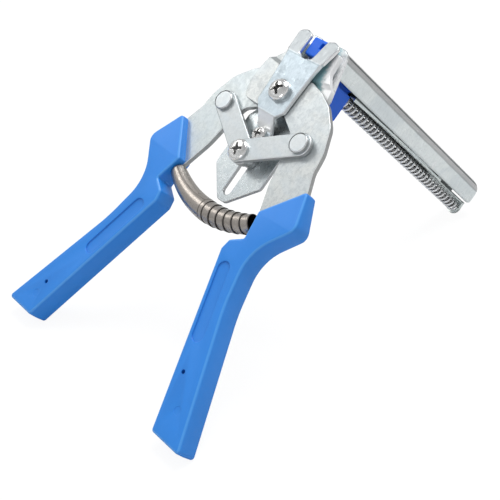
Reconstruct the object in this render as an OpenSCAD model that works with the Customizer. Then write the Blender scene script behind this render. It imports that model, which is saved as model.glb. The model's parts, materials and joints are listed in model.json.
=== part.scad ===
// Spring-fed clip pliers with a magazine
//
// Two crossed levers turn on one pivot screw between a front jaw plate and a slotted
// rear plate. Two links tie the levers to a slider screw that runs in the rear plate's
// slot, so both levers always close by the same angle. A sheet channel behind the jaws
// holds the clips, and a sprung pusher feeds them forward.
//
// Everything is drawn in the tool's own plane first: x to the right, y from the handles
// to the jaws, z out of the front face, zero on the main pivot at the rear plate's front
// face. lay_down() then leans the tool back onto its two grip ends and the lug at the
// tail of the magazine, front face up.

/* [Levers] */
// Thickness of each lever plate
lever_t = 2.8; // [2:0.1:4]
// Angle each lever closes from rest
close_angle = 14; // [4:1:16]
// Radius of the turned bush the levers swing on
bush_r = 5; // [3.5:0.1:7]
// Running clearance at every pivot, on the radius
run_gap = 0.06; // [0.02:0.01:0.1]
// Clearance between neighbouring flat plates
plate_gap = 0.3; // [0.1:0.05:0.6]

/* [Grips] */
// Thickness of a moulded grip, front to back
grip_t = 12; // [9:0.5:16]
// Distance from the main pivot to the grip ends
grip_reach = 157.5; // [140:0.5:170]
// Depth of the finger panel pressed into the grip face
panel_depth = 0.8; // [0.3:0.1:1.5]
// Radius of the finger panel's round ends
panel_r = 3.5; // [2:0.1:4]
// Radius of the small moulding hole in each grip
grip_hole_r = 1.1; // [0.6:0.1:2]

/* [Links] */
// Distance between the two holes of a link, equal to pivot-to-rivet distance
link_len = 34; // [28:0.1:40]
// Half width of a link
link_r = 5.8; // [4:0.1:7]
// Thickness of a link
link_t = 2.5; // [1.5:0.1:4]
// Angle between the lever line through the rivet and the centre line, at rest
link_angle = 60.4; // [50:0.1:68]
// Radius of a link rivet shank
rivet_r = 3; // [2:0.1:4]
// Radius of a link rivet head
rivet_head_r = 4.9; // [3.5:0.1:6]

/* [Plates] */
// Thickness of the slotted rear plate
rear_t = 2; // [1.5:0.1:3]
// Thickness of the front jaw plate
front_t = 2.1; // [1.5:0.1:3]
// How far the tail of the front plate is set back
tail_drop = 5.6; // [3:0.1:6]
// How far the tips of the jaw prongs lean back
prong_lean = 1.65; // [0:0.05:2]
// Half width of the gap between the prongs at its foot
gap_half = 4.6; // [3:0.1:6]
// Half width of the slot in the rear plate
slot_half = 2.6; // [2:0.1:3.5]

/* [Magazine] */
// Length of the magazine channel behind the rear plate's front face
mag_len = 156.5; // [100:0.5:170]
// Half width of the channel over its walls
mag_half = 8; // [6:0.1:10]
// Height of the channel's lower edge above the pivot
mag_low = 21; // [18:0.1:24]
// Height of the channel's top above the pivot
mag_top = 33.5; // [28:0.1:38]
// Sheet thickness of the channel
mag_t = 1.2; // [0.8:0.1:2]
// outside radius of the channel's top corners
mag_round = 4; // [1.5:0.1:6]
// Travel of the pusher
push_travel = 85; // [20:1:90]
// Outer radius of the magazine spring
coil_r = 3.1; // [2:0.1:4]
// Radius of the spring's guide rod
rod_r = 1.4; // [1:0.1:2]

/* [Grip spring] */
// Radius of the arc the grip spring lies on, about the main pivot
arc_r = 65; // [60:0.5:70]
// Largest radius of the coiled band
volute_r = 5.6; // [4:0.1:7]
// Half the angle the grip spring spans
volute_half = 28; // [20:0.5:30]

/* [Hidden] */
$fn = 48;
e = 0.01;
lever_z = [plate_gap, plate_gap + lever_t + plate_gap];
front_z = lever_z[1] + lever_t + plate_gap;
jaw_z = (lever_z[0] + lever_z[1]) / 2 - 0.05;
mid_z = (lever_z[0] + lever_z[1] + lever_t) / 2;
link_z = [lever_z[0] + lever_t + plate_gap, front_z - 0.1];
tail_z = front_z - tail_drop;
rivet_x = link_len * sin(link_angle);
rivet_y = -link_len * cos(link_angle);
slider_y = 2 * rivet_y;
tail_y = -21.9;
rod_y = 16.2;
rail_y = mag_low - 1.4;
push_front = 5.8;
push_back = -28;
lug_y = 12.2;
lug_z = -mag_len - 2;
// the line under the grip ends and the magazine lug sets the lean of the whole tool
foot = [-grip_reach, mid_z - grip_t / 2 + 1];
lean = atan2(foot[1] - lug_z, lug_y - foot[0]);
drop = -(foot[0] * sin(lean) + foot[1] * cos(lean));
far_y = mag_top * cos(lean) + (mag_len - 4) * sin(lean);
near_y = foot[0] * cos(lean) - (mid_z + grip_t / 2 - 1) * sin(lean);
shift_y = -(far_y + near_y) / 2;

steel = [0.78, 0.81, 0.82];
nickel = [0.86, 0.86, 0.85];
band = [0.66, 0.62, 0.58];
blue = [0.24, 0.54, 0.88];
deep_blue = [0.14, 0.35, 0.82];

// Part to show

// --- outlines with rounded corners: each corner is [x, y, radius] ---

function unit(v) = v / norm(v);

function corner(a, b, c, r, k) =
    r <= 0 ? [[b[0], b[1]]] :
    let (
        u = unit([a[0] - b[0], a[1] - b[1]]),
        v = unit([c[0] - b[0], c[1] - b[1]]),
        half = acos(u * v) / 2,
        from = [b[0], b[1]] + u * r / tan(half),
        to = [b[0], b[1]] + v * r / tan(half),
        mid = [b[0], b[1]] + unit(u + v) * r / sin(half),
        start = atan2(from[1] - mid[1], from[0] - mid[0]),
        end = atan2(to[1] - mid[1], to[0] - mid[0]),
        sweep = (end - start + 540) % 360 - 180
    )
    [for (i = [0:k]) mid + r * [cos(start + sweep * i / k), sin(start + sweep * i / k)]];

function soft(p, k = 5) =
    [for (i = [0:len(p) - 1])
        each corner(p[(i + len(p) - 1) % len(p)], p[i], p[(i + 1) % len(p)], p[i][2], k)];

// corner points of an outline moved inwards by d, each with its radius
function shrink(p, d) =
    [for (i = [0:len(p) - 1])
        let (
            a = p[(i + len(p) - 1) % len(p)],
            c = p[(i + 1) % len(p)],
            u = unit([p[i][0] - a[0], p[i][1] - a[1]]),
            v = unit([c[0] - p[i][0], c[1] - p[i][1]]),
            m = [u[1] + v[1], -u[0] - v[0]] / (1 + u * v)
        )
        [p[i][0] + d * m[0], p[i][1] + d * m[1], p[i][2]]];

// --- shared helpers ---

module lay_down() {
    translate([0, shift_y, drop])
        rotate([lean, 0, 0])
            children();
}

module slab(z, t) {
    translate([0, 0, z])
        linear_extrude(t)
            children();
}

// round-ended bar or hole between two points
module long_bar(a, b, r) {
    for (p = [a, b])
        translate(p)
            circle(r = r);
    translate(a)
        rotate([0, 0, atan2(b[1] - a[1], b[0] - a[0])])
            translate([0, -r])
                square([norm(b - a), 2 * r]);
}

// a sheet whose height follows a line over y, given as [y, z of the back face] pairs
module sheet_band(path, t, half = 60) {
    rotate([90, 0, 90])
        translate([0, 0, -half])
            linear_extrude(2 * half)
                polygon(concat(
                    path,
                    [for (i = [len(path) - 1:-1:0]) [path[i][0], path[i][1] + t]]
                ));
}

module ring(r_out, r_in, z, h) {
    translate([0, 0, z])
        difference() {
            cylinder(r = r_out, h = h);
            translate([0, 0, -1])
                cylinder(r = r_in, h = h + 2);
        }
}

module hex_nut(r, hole, z, h) {
    translate([0, 0, z])
        difference() {
            cylinder(r = r, h = h, $fn = 6);
            translate([0, 0, -1])
                cylinder(r = hole, h = h + 2);
        }
}

// pan head with a cross recess on a plain shank
module pan_screw(head_r, head_h, shank_r, seat_z, end_z) {
    translate([0, 0, seat_z])
        difference() {
            rotate_extrude()
                polygon(concat(
                    [[0, 0], [head_r * 0.97, 0], [head_r, head_h * 0.12]],
                    [for (a = [0:15:90])
                        [head_r * (0.45 + 0.55 * cos(a)), head_h * (0.36 + 0.64 * sin(a))]],
                    [[0, head_h]]
                ));
            for (a = [20, 110])
                rotate([0, 0, a])
                    translate([-head_r * 0.56, -head_r * 0.11, head_h * 0.45])
                        cube([head_r * 1.12, head_r * 0.22, head_h]);
        }
    translate([0, 0, end_z])
        cylinder(r = shank_r, h = seat_z - end_z + e);
}

// --- plates fixed to each other: the frame of the tool ---

module front_outline() {
    side = [
        [gap_half, 19.9, 1.5], [5.6, 30.6, 1.6], [9.6, 32.2, 3], [14.1, 30.4, 2.2],
        [12.5, 19.8, 0.3], [11.7, 18.9, 0.4], [10.9, 11, 20], [10.2, 1, 20],
        [9.8, -8.2, 2], [5.6, -13, 3], [5.5, -27.4, 5.2]
    ];
    polygon(soft(concat(
        side,
        [for (i = [len(side) - 1:-1:0]) [-side[i][0], side[i][1], side[i][2]]],
        [[0, 18.4, 6]]
    )));
}

module front_jaw_plate() {
    color(steel)
        difference() {
            intersection() {
                slab(-2, 20)
                    front_outline();
                sheet_band([
                    [-40, tail_z], [-18.5, tail_z], [-12, front_z], [19.5, front_z],
                    [40, front_z - prong_lean * 20.5 / 11.5]
                ], front_t);
            }
            translate([0, 0, -5])
                cylinder(r = 2.95, h = 30);
            translate([0, tail_y, -5])
                cylinder(r = 1.75, h = 30);
        }
}

module rear_outline() {
    side = [
        [5.6, 20.6, 0.8], [5.6, 32.6, 0.6], [11, 32.6, 2], [14.2, 30.6, 2],
        [21.3, 7.3, 2.5], [15, -4, 6], [14.4, -11.5, 3], [17, -16, 3], [17, -43.2, 3],
        [2.6, -57.6, 3.4]
    ];
    polygon(soft(concat(
        side,
        [for (i = [len(side) - 1:-1:0]) [-side[i][0], side[i][1], side[i][2]]]
    )));
}

module rear_plate() {
    color(steel)
        difference() {
            slab(-rear_t, rear_t)
                difference() {
                    rear_outline();
                    circle(r = 2.95);
                    translate([0, tail_y])
                        circle(r = 1.75);
                    translate([0, rod_y])
                        circle(r = rod_r);
                    long_bar([0, -31.4], [0, -51.4], slot_half);
                }
        }
}

// cross-section of the channel, drawn down to y = low
module channel_section(half, top, low, r) {
    polygon(soft([[-half, low, 0], [-half, top, r], [half, top, r], [half, low, 0]], 7));
}

module magazine_channel() {
    color(steel)
        difference() {
            intersection() {
                // side view in (z, y)
                rotate([0, -90, 0])
                    translate([0, 0, -mag_half])
                        linear_extrude(2 * mag_half)
                            polygon(soft([
                                [-rear_t, mag_low, 0], [-rear_t, mag_top, 1],
                                [-mag_len, mag_top, 6.5], [-mag_len, mag_low, 2.5]
                            ]));
                translate([0, 0, -mag_len - 5])
                    linear_extrude(mag_len + 10)
                        channel_section(mag_half, mag_top, mag_low - 5, mag_round);
            }
            translate([0, 0, -mag_len - 10])
                linear_extrude(mag_len + 20)
                    channel_section(mag_half - mag_t, mag_top - mag_t, mag_low - 9, mag_round - mag_t);
            // the roof starts a little way behind the mouth
            translate([-mag_half + mag_t, mag_low, -9])
                cube([2 * (mag_half - mag_t), 30, 20]);
        }
}

module magazine_rail() {
    wall_x = mag_half - mag_t - 0.02;
    color(steel) {
        // walls of the liner; their lower edge rises towards the tail
        for (x = [-wall_x, wall_x - 1.1])
            translate([x, 0, 0])
                rotate([0, -90, 0])
                    translate([0, 0, -1.1])
                        linear_extrude(1.1)
                            polygon([[-125, 21.3], [-30, 18.7], [-30, 27.1], [-125, 27.1]]);
        // inward lips that the neck of the pusher runs between
        for (x = [-wall_x + 0.5, 3])
            translate([x, rail_y, -122])
                cube([wall_x - 3.5, 1.2, 92]);
        // bridge, tongue and the lug the rod ends in
        translate([-wall_x + 0.5, rail_y, -125])
            cube([2 * wall_x - 1, 3, 4]);
        difference() {
            union() {
                translate([-3.3, rail_y, lug_z])
                    cube([6.6, 1.2, -125 - lug_z + 1]);
                translate([-3.9, lug_y + 3.9, lug_z])
                    cube([7.8, rail_y + 1.2 - lug_y - 3.9, 2]);
                translate([0, lug_y + 3.9, lug_z])
                    cylinder(r = 3.9, h = 2);
            }
            translate([0, rod_y, lug_z - 5])
                cylinder(r = rod_r, h = 20);
        }
    }
}

module magazine_rod() {
    color(nickel)
        translate([0, rod_y, 0]) {
            translate([0, 0, lug_z - 0.6])
                cylinder(r = rod_r, h = -lug_z + 0.6 - 0.2);
            translate([0, 0, lug_z - 0.9])
                cylinder(r = 2.1, h = 0.9);
        }
}

module magazine_spring() {
    color(band)
        translate([0, rod_y, 0])
            ring(coil_r, coil_r - 1.1, lug_z + 2.02, push_back - lug_z - 2.04);
}

module pusher() {
    color(deep_blue)
        difference() {
            union() {
                // nose that shows between the prongs
                rotate([0, -90, 0])
                    translate([0, 0, -4.2])
                        linear_extrude(8.4)
                            polygon(soft([
                                [push_front, 21.5, 1], [push_front, 30.9, 1.2],
                                [-8, 31.6, 1], [push_back, 31.6, 0.5], [push_back, 21.4, 0.5]
                            ]));
                // neck that passes between the lips of the rail
                translate([-2.7, 18, push_back])
                    cube([5.4, 5, 15]);
                // finger block below the rail
                rotate([0, -90, 0])
                    translate([0, 0, -5.2])
                        linear_extrude(10.4)
                            polygon(soft([
                                [-13, 19.3, 1], [-15.6, 9, 1], [-24.2, 2.8, 0.5], [-26.4, 2.8, 0.4],
                                [push_back, 5.6, 0.8], [push_back, 19.3, 0.4]
                            ]));
            }
            translate([0, rod_y, -60])
                cylinder(r = rod_r + 0.1, h = 80);
            // square recess at the right of the nose
            translate([2, 26.2, push_front - 1.6])
                cube([5, 3, 5]);
        }
}

// --- screws, bush, spacer and nuts of the frame ---

module pivot_screw() {
    color(nickel)
        pan_screw(5.7, 3.8, 2.9, front_z + front_t, -rear_t - 4.2);
}

module pivot_bush() {
    color(steel)
        ring(bush_r, 2.9, 0, front_z);
}

module pivot_nut() {
    color(nickel)
        hex_nut(5.8, 2.9, -rear_t - 3.4, 3.4);
}

module tail_screw() {
    color(nickel)
        translate([0, tail_y, 0])
            pan_screw(3.9, 2.9, 1.7, tail_z + front_t, -rear_t - 3.2);
}

module tail_spacer() {
    color(steel)
        translate([0, tail_y, 0])
            ring(3.8, 1.7, 0, tail_z);
}

module tail_nut() {
    color(nickel)
        translate([0, tail_y, 0])
            hex_nut(4, 1.7, -rear_t - 2.6, 2.6);
}

// --- levers: drawn for the right hand, mirrored for the left ---

module lever_outline() {
    difference() {
        polygon(soft([
            [31.2, -54, 0], [25.2, -38.5, 30], [22.6, -26, 20], [18.6, -14.6, 4],
            [9.1, -9.3, 0.8], [7.4, -7.3, 1], [3.4, -9.7, 4], [-3.4, -9.7, 4],
            [-9.5, -10.4, 3], [-20.4, -9.9, 3.5], [-23.1, -2, 9], [-22.7, 6, 9],
            [-21.7, 11.6, 1.6], [-16.2, 18.2, 4], [-15.2, 28, 1.6], [-11.7, 28.2, 0.8],
            [-9.5, 18.8, 3], [-8.2, 9.6, 1], [-4.4, 11.3, 5], [4.4, 11.3, 5],
            [8.7, 8.9, 1], [11.4, 10.9, 1], [19.3, 8.9, 10], [28, 4.9, 14],
            [37, -3.4, 12], [42.4, -15.4, 15], [43.7, -24.6, 10], [47.6, -33, 0],
            [50, -46, 4], [40.3, -64, 12], [42.8, -82, 20], [52.6, -114, 3],
            [45, -116.5, 3], [33.4, -80, 10], [35.6, -66, 3]
        ]));
        circle(r = bush_r + run_gap);
    }
}

// plate with its jaw end set to the common jaw level
module lever_plate(z) {
    intersection() {
        slab(-4, 16)
            difference() {
                lever_outline();
                translate([rivet_x, rivet_y])
                    circle(r = rivet_r);
            }
        union() {
            // only the jaw side is stepped, past a bend line eight degrees off level
            intersection() {
                rotate([0, 0, -8])
                    sheet_band([[-150, z], [9.1, z], [11.1, jaw_z], [60, jaw_z]], lever_t, 150);
                translate([-60, -60, -10])
                    cube([52.5 + e, 120, 30]);
            }
            translate([-7.5, -150, z])
                cube([200, 200, lever_t]);
        }
    }
}

module left_lever() {
    color(steel)
        mirror([1, 0, 0])
            lever_plate(lever_z[0]);
}

module right_lever() {
    color(steel)
        lever_plate(lever_z[1]);
}

module grip_outline(d = 0) {
    polygon(soft(shrink([
        [31, -51.8, 1.2], [48, -32, 2], [56.9, -50.4, 6], [42, -69.5, 22], [48.5, -95, 80],
        [75.2, -grip_reach, 2], [54.2, -grip_reach, 2], [26, -75, 3.5], [27.2, -69.6, 1.6],
        [34.2, -65.4, 0.8]
    ], d), 7));
}

// strip with half-round ends from a to b
module finger_panel(a, b, r) {
    u = unit(b - a) * r;
    w = [-u[1], u[0]];
    e = r * 0.999;
    polygon(soft([
        [a[0] - u[0] + w[0], a[1] - u[1] + w[1], e], [a[0] - u[0] - w[0], a[1] - u[1] - w[1], e],
        [b[0] + u[0] - w[0], b[1] + u[1] - w[1], e], [b[0] + u[0] + w[0], b[1] + u[1] + w[1], e]
    ], 8));
}

// side view whose two faces draw together towards the lever, past a line across the grip
module grip_wedge() {
    high = grip_t / 2 + 1;
    rotate([0, 0, 26.4])
        rotate([90, 0, 90])
            translate([0, 0, -150])
                linear_extrude(300)
                    polygon([
                        [-200, mid_z - high], [-78.4, mid_z - high], [-40, mid_z - high + 4.8],
                        [-40, mid_z + high - 4.8], [-78.4, mid_z + high], [-200, mid_z + high]
                    ]);
}

module grip(z, hole_x, hole_y) {
    back = mid_z - grip_t / 2;
    difference() {
        union() {
            intersection() {
                union() {
                    slab(back + 1, grip_t - 2)
                        grip_outline();
                    slab(back, grip_t)
                        grip_outline(1.2);
                    slab(back + 0.4, grip_t - 0.8)
                        grip_outline(0.4);
                }
                grip_wedge();
            }
            // round seat that centres the grip spring
            rotate([0, 0, volute_half + 2])
                translate([0, -arc_r, mid_z])
                    rotate([0, -90, 0])
                        translate([0, 0, -2])
                            cylinder(r = 2.4, h = 8);
        }
        // the steel lever sits in a pocket of its own shape
        slab(z, lever_t)
            lever_outline();
        // finger panel on both faces
        for (f = [back - 1, back + grip_t - panel_depth])
            slab(f, 1 + panel_depth)
                finger_panel([34.8, -81.8], [45, -111.8], panel_r);
        translate([hole_x, hole_y, back - 5])
            cylinder(r = grip_hole_r, h = grip_t + 10);
    }
}

module left_grip() {
    color(blue)
        mirror([1, 0, 0])
            grip(lever_z[0], 57.5, -139.4);
}

module right_grip() {
    color(blue)
        grip(lever_z[1], 50.4, -128.5);
}

module rivet(lever, link) {
    translate([rivet_x, rivet_y, 0]) {
        translate([0, 0, lever - 1.1])
            cylinder(r = 4.4, h = 1.1);
        translate([0, 0, lever - e])
            cylinder(r = rivet_r, h = link + link_t - lever + 0.1);
        translate([0, 0, link + link_t + 0.05])
            cylinder(r = rivet_head_r, h = 1.5);
        translate([0, 0, link + link_t + 1.54])
            cylinder(r = rivet_head_r - 0.3, h = 0.2);
    }
}

module left_rivet() {
    color(nickel)
        mirror([1, 0, 0])
            rivet(lever_z[0], link_z[0]);
}

module right_rivet() {
    color(nickel)
        rivet(lever_z[1], link_z[1]);
}

// --- links and the slider that runs in the slot ---

module link_bar(z, slider_hole) {
    slab(z, link_t)
        difference() {
            long_bar([rivet_x, rivet_y], [0, slider_y], link_r);
            translate([rivet_x, rivet_y])
                circle(r = rivet_r + run_gap);
            translate([0, slider_y])
                circle(r = slider_hole);
        }
}

module left_link() {
    color(steel)
        mirror([1, 0, 0])
            link_bar(link_z[0], 2.5);
}

module right_link() {
    color(steel)
        link_bar(link_z[1], 2.5 + run_gap);
}

module slider_screw() {
    color(nickel)
        translate([0, slider_y, 0])
            pan_screw(5.5, 2.4, 2.5, link_z[1] + link_t + 0.05, -rear_t - 3.9);
}

module slider_bush() {
    color(nickel)
        translate([0, slider_y, 0])
            ring(4.5, 2.5, 0.1, 1.9);
}

module slider_washer() {
    color(steel)
        translate([0, slider_y, 0])
            ring(5.4, 2.5, 2, link_z[0] - 2);
}

module link_washer() {
    color(steel)
        translate([0, slider_y, 0])
            ring(5.3, 2.5, link_z[0] + link_t, link_z[1] - link_z[0] - link_t - 0.05);
}

module slider_nut() {
    color(nickel)
        translate([0, slider_y, 0])
            hex_nut(4.9, 2.5, -rear_t - 3.2, 3.1);
}

// --- coiled band spring between the grips, lying on an arc about the pivot ---

module band_turn(from, to, r) {
    rotate([0, 0, -90 + from])
        rotate_extrude(angle = to - from, $fn = 120)
            translate([arc_r, mid_z])
                difference() {
                    circle(r = r);
                    circle(r = r - 0.9);
                }
}

module volute_spring() {
    step = volute_half / 7;
    color(band) {
        band_turn(-volute_half, -volute_half + 2 * step, 4.2);
        band_turn(-volute_half + 2 * step - e, -volute_half + 4 * step, 4.9);
        band_turn(-volute_half + 4 * step - e, step, volute_r);
        for (i = [1:6])
            band_turn(i * step - e, (i + 1) * step, volute_r - 0.2 * i);
    }
}

// --- the assembly ---

lay_down() front_jaw_plate();
lay_down() rear_plate();
lay_down() magazine_channel();
lay_down() magazine_rail();
lay_down() magazine_rod();
lay_down() magazine_spring();
lay_down() pusher();
lay_down() pivot_screw();
lay_down() pivot_bush();
lay_down() pivot_nut();
lay_down() tail_screw();
lay_down() tail_spacer();
lay_down() tail_nut();
lay_down() left_lever();
lay_down() left_grip();
lay_down() left_rivet();
lay_down() right_lever();
lay_down() right_grip();
lay_down() right_rivet();
lay_down() left_link();
lay_down() right_link();
lay_down() slider_screw();
lay_down() slider_bush();
lay_down() slider_washer();
lay_down() link_washer();
lay_down() slider_nut();
lay_down() volute_spring();
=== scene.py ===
"""Clip pliers with a sprung magazine: surfaces, finishes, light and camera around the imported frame.

The tool is described in millimetres in its own frame: x to the right, y towards the jaws and n out of the
front plate, with the main pivot at the origin. Stance carries that frame to the row frame in metres.
"""

import json
import logging
import math
from dataclasses import dataclass, field
from enum import Enum
from typing import Callable, Dict, List, Optional, Sequence, Tuple, Union

import bmesh
import bpy
import numpy as np
from mathutils import Matrix, Vector
from mathutils.geometry import tessellate_polygon
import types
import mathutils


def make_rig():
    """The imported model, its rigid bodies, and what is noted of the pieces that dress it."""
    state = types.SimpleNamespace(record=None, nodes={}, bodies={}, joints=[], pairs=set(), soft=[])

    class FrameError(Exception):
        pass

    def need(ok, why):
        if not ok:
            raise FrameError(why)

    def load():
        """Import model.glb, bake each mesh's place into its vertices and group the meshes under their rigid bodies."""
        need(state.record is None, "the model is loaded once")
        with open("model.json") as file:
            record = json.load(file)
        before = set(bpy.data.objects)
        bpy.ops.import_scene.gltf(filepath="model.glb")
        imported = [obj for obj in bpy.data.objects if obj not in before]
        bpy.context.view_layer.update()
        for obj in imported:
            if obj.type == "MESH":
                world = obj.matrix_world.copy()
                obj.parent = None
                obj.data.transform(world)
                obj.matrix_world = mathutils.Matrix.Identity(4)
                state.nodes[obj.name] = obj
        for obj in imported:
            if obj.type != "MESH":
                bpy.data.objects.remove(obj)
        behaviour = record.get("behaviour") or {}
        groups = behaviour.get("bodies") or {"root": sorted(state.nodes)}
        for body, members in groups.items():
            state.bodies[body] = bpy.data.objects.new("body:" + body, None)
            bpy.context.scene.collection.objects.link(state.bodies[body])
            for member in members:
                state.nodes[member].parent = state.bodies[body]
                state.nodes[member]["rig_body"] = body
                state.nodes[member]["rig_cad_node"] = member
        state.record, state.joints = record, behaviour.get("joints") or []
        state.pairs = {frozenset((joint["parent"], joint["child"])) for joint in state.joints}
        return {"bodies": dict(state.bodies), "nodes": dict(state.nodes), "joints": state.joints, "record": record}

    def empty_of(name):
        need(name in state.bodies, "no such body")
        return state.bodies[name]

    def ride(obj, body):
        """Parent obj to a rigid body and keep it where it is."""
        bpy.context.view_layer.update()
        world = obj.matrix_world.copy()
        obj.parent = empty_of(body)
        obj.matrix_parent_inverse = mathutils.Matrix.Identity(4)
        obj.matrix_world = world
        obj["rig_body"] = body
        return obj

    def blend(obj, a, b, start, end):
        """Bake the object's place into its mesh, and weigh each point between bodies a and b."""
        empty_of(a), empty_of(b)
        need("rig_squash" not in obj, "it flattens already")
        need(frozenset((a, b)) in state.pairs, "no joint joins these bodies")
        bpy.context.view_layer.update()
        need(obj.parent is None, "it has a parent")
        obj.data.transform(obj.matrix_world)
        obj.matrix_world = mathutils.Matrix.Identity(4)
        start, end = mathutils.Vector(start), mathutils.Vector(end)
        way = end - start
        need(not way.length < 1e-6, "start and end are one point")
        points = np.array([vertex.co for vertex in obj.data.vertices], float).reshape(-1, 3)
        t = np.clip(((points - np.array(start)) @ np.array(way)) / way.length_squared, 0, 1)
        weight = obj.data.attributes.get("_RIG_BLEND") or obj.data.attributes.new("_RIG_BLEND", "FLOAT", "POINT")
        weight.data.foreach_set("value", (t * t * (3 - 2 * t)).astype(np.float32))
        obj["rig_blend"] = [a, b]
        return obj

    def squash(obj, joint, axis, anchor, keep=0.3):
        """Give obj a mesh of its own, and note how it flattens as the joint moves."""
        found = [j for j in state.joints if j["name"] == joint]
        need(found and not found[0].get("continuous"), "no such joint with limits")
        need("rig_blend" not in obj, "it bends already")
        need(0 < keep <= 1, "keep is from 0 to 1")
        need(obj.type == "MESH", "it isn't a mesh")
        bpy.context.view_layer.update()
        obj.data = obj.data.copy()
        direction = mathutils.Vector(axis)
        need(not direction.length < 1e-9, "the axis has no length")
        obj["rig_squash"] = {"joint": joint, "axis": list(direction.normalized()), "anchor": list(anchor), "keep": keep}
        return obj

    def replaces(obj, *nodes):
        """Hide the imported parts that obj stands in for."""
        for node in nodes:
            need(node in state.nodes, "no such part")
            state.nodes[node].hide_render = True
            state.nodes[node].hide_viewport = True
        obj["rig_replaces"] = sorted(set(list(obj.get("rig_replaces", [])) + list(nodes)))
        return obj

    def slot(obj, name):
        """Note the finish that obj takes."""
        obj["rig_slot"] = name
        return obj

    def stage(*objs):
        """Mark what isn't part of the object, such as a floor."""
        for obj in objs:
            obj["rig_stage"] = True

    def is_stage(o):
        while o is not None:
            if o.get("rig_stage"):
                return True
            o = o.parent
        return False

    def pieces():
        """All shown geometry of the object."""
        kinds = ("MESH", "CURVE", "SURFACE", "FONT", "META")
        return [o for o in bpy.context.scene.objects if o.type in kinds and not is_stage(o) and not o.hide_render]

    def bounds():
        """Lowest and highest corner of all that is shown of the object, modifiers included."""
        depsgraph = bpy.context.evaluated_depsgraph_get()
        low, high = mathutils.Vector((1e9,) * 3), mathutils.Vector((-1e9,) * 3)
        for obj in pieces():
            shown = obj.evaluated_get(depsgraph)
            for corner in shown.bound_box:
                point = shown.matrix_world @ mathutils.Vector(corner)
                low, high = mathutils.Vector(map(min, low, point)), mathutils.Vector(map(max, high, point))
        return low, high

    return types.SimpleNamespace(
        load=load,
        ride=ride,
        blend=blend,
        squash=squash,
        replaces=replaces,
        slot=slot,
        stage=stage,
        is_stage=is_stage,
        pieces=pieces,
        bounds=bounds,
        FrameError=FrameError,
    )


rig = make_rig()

LOG = logging.getLogger("clip_pliers")
MM = 0.001
LEAST_RADIUS = 0.25
ON_AXIS = 1e-4
Colour = Tuple[float, float, float]
Triple = Tuple[float, float, float]
Point2 = Tuple[float, float]


# --------------------------------------------------------------------------- frame


@dataclass(frozen=True)
class Stance:
    """How the tool stands on its two grip ends and the tail of the magazine.

    Attributes:
        lean: angle of the tool about X, in degrees.
        shift: move along Y after the lean, in mm.
        drop: lift after the lean, in mm.
    """

    lean: float = 42.728315
    shift: float = -3.394535
    drop: float = 108.152851

    def matrix(self) -> np.ndarray:
        """The 3x3 turn from the tool's frame to the row frame."""
        a = math.radians(self.lean)
        return np.array([[1, 0, 0], [0, math.cos(a), -math.sin(a)], [0, math.sin(a), math.cos(a)]])

    def place(self, points: np.ndarray) -> np.ndarray:
        """Tool points to row points: turned about X, then shifted and lifted.

        Args:
            points: (N, 3) array in mm.

        Returns:
            (N, 3) array in metres.
        """
        return (np.asarray(points, float) @ self.matrix().T + (0.0, self.shift, self.drop)) * MM

    def spot(self, x: float, y: float, n: float) -> Triple:
        """One tool point in metres of the row frame."""
        return tuple(float(c) for c in self.place(np.array([[x, y, n]]))[0])

    def turn(self, vector: Sequence[float]) -> Vector:
        """One tool direction in the row frame."""
        return Vector(self.matrix() @ np.asarray(vector, float))


STANCE = Stance()


# --------------------------------------------------------------------------- outlines


def unit(rows: np.ndarray) -> np.ndarray:
    """Each row divided by its length."""
    return rows / np.linalg.norm(rows, axis=1)[:, None]


def soft_outline(corners: np.ndarray, inset: float = 0.0, steps: int = 12) -> np.ndarray:
    """Closed outline with round corners, moved inwards.

    Every side is moved inwards by the inset, neighbouring sides are met again along the mitre
    (n1 + n2) / (1 + n1 . n2), and each corner is an arc between its two tangent points. A convex arc
    loses the inset from its radius and a concave one gains it, so the result stays parallel.

    Args:
        corners: (M, 3) rows of x, y and radius, clockwise.
        inset: distance moved inwards, in mm.
        steps: arc pieces at each corner.

    Returns:
        (M * (steps + 1), 2) points, the same number for every inset.
    """
    p, radius = corners[:, :2], corners[:, 2]
    along = unit(np.roll(p, -1, 0) - p)
    before = np.roll(along, 1, 0)
    convex = before[:, 1] * along[:, 0] - before[:, 0] * along[:, 1] > 0
    normal = np.stack([along[:, 1], -along[:, 0]], 1)
    last = np.roll(normal, 1, 0)
    p = p + inset * (normal + last) / (1 + (normal * last).sum(1))[:, None]
    radius = np.maximum(np.where(convex, radius - inset, radius + inset), LEAST_RADIUS)
    u, v = unit(np.roll(p, 1, 0) - p), unit(np.roll(p, -1, 0) - p)
    half = np.arccos(np.clip((u * v).sum(1), -1, 1)) / 2
    centre = p + unit(u + v) * (radius / np.sin(half))[:, None]
    start = p + u * (radius / np.tan(half))[:, None] - centre
    end = p + v * (radius / np.tan(half))[:, None] - centre
    first = np.arctan2(start[:, 1], start[:, 0])
    sweep = (np.arctan2(end[:, 1], end[:, 0]) - first + 3 * np.pi) % (2 * np.pi) - np.pi
    angle = first[:, None] + sweep[:, None] * np.linspace(0, 1, steps + 1)[None, :]
    arc = np.stack([np.cos(angle), np.sin(angle)], 2) * radius[:, None, None]
    return (centre[:, None, :] + arc).reshape(-1, 2)


def stadium(a: Point2, b: Point2, radius: float, steps: int = 10) -> np.ndarray:
    """Strip with half-round ends: two half circles about a and b, clockwise.

    Args:
        a: centre of the first end, in mm.
        b: centre of the second end, which may be the same point.
        radius: half the strip's width, in mm.
        steps: pieces in each half circle.

    Returns:
        (2 * steps + 2, 2) points.
    """
    a, b = np.array(a, float), np.array(b, float)
    along = b - a
    base = math.atan2(along[1], along[0])
    t = np.linspace(np.pi / 2, -np.pi / 2, steps + 1)
    far = b + radius * np.stack([np.cos(base + t), np.sin(base + t)], 1)
    near = a + radius * np.stack([np.cos(base + np.pi + t), np.sin(base + np.pi + t)], 1)
    return np.concatenate([far, near])


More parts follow.
